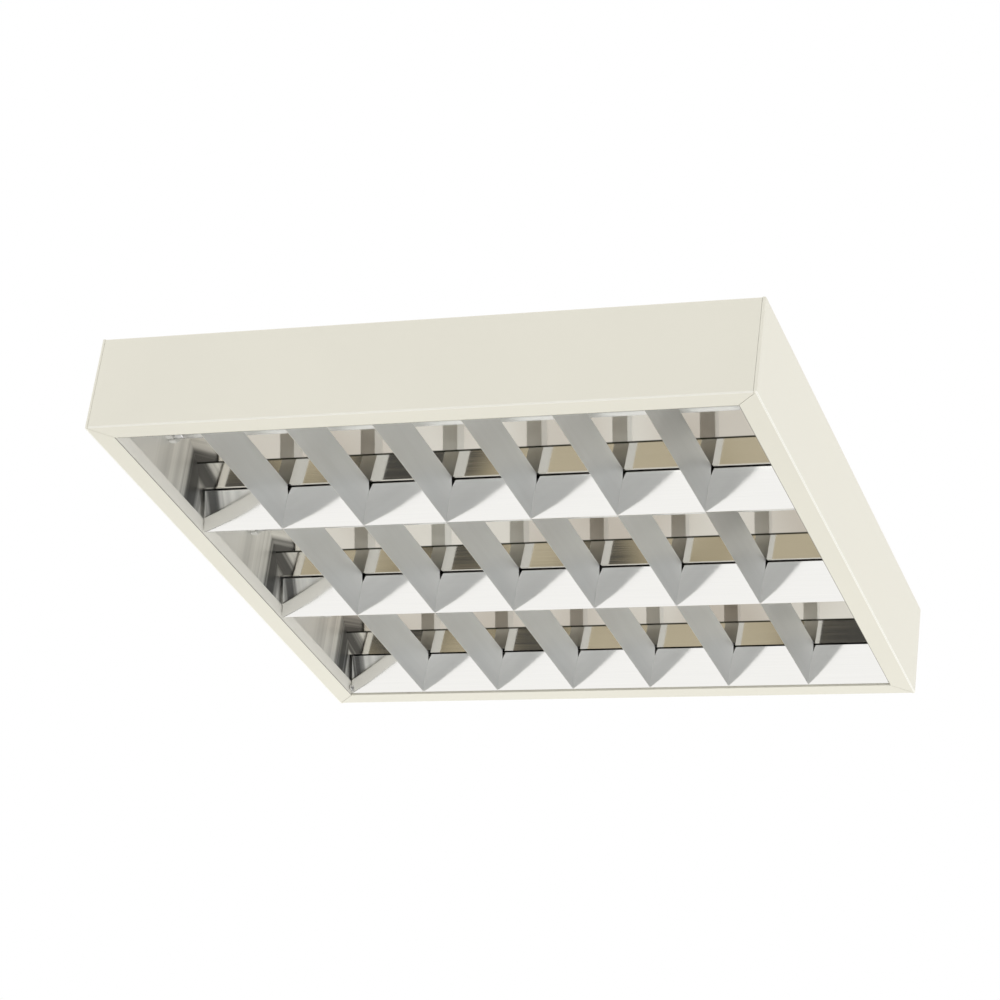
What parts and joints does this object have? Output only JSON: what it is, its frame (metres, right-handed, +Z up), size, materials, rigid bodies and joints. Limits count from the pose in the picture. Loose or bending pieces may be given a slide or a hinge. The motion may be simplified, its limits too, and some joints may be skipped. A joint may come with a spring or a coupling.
{
  "type": "recessed troffer light",
  "caption": "Square ceiling light: painted sheet steel case, straight fluorescent lamps in mirror troughs and a parabolic V louver that swings down for relamping.",
  "frame": {"origin": "middle of the flat top face that lies against the ceiling", "axes": "+X along the lamps, +Y across the rows of lamps towards the louver hinge, +Z up into the ceiling"},
  "size_m": [0.6, 0.6, 0.088],
  "materials": {
    "casing_paint": "semi-matt cream white powder coat",
    "blade_aluminium": "semi-specular anodised",
    "profile_aluminium": "specular anodised",
    "reflector_mirror": "mirror-bright anodised",
    "zinc_steel": "zinc coated",
    "bright_steel": "nickel plated",
    "holder_plastic": "matt white",
    "rotor_plastic": "glossy white",
    "tube_glass": "white phosphor inside clear glass",
    "cap_aluminium": "plain rolled",
    "gear_paint": "white coil coat",
    "terminal_plastic": "natural nylon",
    "earth_brass": "plain",
    "grommet_rubber": "matt black"
  },
  "bodies": {
    "housing": {"ballast_case": "gear_paint", "ballast_screws": "bright_steel", "bracket_screws": "bright_steel", "cable_grommet": "grommet_rubber", "catch_spring_left": "bright_steel", "catch_spring_right": "bright_steel", "corner_angles": "zinc_steel", "earth_terminal": "earth_brass", "end_plate_left": "casing_paint", "end_plate_right": "casing_paint", "end_reflector_left": "reflector_mirror", "end_reflector_right": "reflector_mirror", "housing_tray": "casing_paint", "lampholder_back_left": "holder_plastic", "lampholder_back_right": "holder_plastic", "lampholder_bracket_left": "zinc_steel", "lampholder_bracket_right": "zinc_steel", "lampholder_front_left": "holder_plastic", "lampholder_front_right": "holder_plastic", "lampholder_middle_left": "holder_plastic", "lampholder_middle_right": "holder_plastic", "terminal_block": "terminal_plastic", "upper_reflector_back": "reflector_mirror", "upper_reflector_front": "reflector_mirror", "upper_reflector_middle": "reflector_mirror"},
    "louver": {"hinge_pin_left": "bright_steel", "hinge_pin_right": "bright_steel", "louver_blade_back_1": "blade_aluminium", "louver_blade_back_2": "blade_aluminium", "louver_blade_back_3": "blade_aluminium", "louver_blade_back_4": "blade_aluminium", "louver_blade_back_5": "blade_aluminium", "louver_blade_back_6": "blade_aluminium", "louver_blade_front_1": "blade_aluminium", "louver_blade_front_2": "blade_aluminium", "louver_blade_front_3": "blade_aluminium", "louver_blade_front_4": "blade_aluminium", "louver_blade_front_5": "blade_aluminium", "louver_blade_front_6": "blade_aluminium", "louver_blade_middle_1": "blade_aluminium", "louver_blade_middle_2": "blade_aluminium", "louver_blade_middle_3": "blade_aluminium", "louver_blade_middle_4": "blade_aluminium", "louver_blade_middle_5": "blade_aluminium", "louver_blade_middle_6": "blade_aluminium", "louver_profile_back": "profile_aluminium", "louver_profile_front": "profile_aluminium", "louver_profile_middle_1": "profile_aluminium", "louver_profile_middle_2": "profile_aluminium"},
    "lamp_front": {"lamp_caps_front": "cap_aluminium", "lamp_rotors_front": "rotor_plastic", "lamp_tube_front": "tube_glass"},
    "lamp_middle": {"lamp_caps_middle": "cap_aluminium", "lamp_rotors_middle": "rotor_plastic", "lamp_tube_middle": "tube_glass"},
    "lamp_back": {"lamp_caps_back": "cap_aluminium", "lamp_rotors_back": "rotor_plastic", "lamp_tube_back": "tube_glass"}
  },
  "joints": [
    {"name": "louver_swing", "type": "hinge", "parent": "housing", "child": "louver", "pos_m": [0, 0.274, -0.083], "axis": [1, 0, 0], "range_deg": [0, 85]},
    {"name": "lamp_front_twist", "type": "hinge", "parent": "housing", "child": "lamp_front", "pos_m": [0, -0.18667, -0.031], "axis": [1, 0, 0], "range_deg": [0, 90]},
    {"name": "lamp_middle_twist", "type": "hinge", "parent": "housing", "child": "lamp_middle", "pos_m": [0, 0, -0.031], "axis": [1, 0, 0], "range_deg": [0, 90]},
    {"name": "lamp_back_twist", "type": "hinge", "parent": "housing", "child": "lamp_back", "pos_m": [0, 0.18667, -0.031], "axis": [1, 0, 0], "range_deg": [0, 90]}
  ]
}
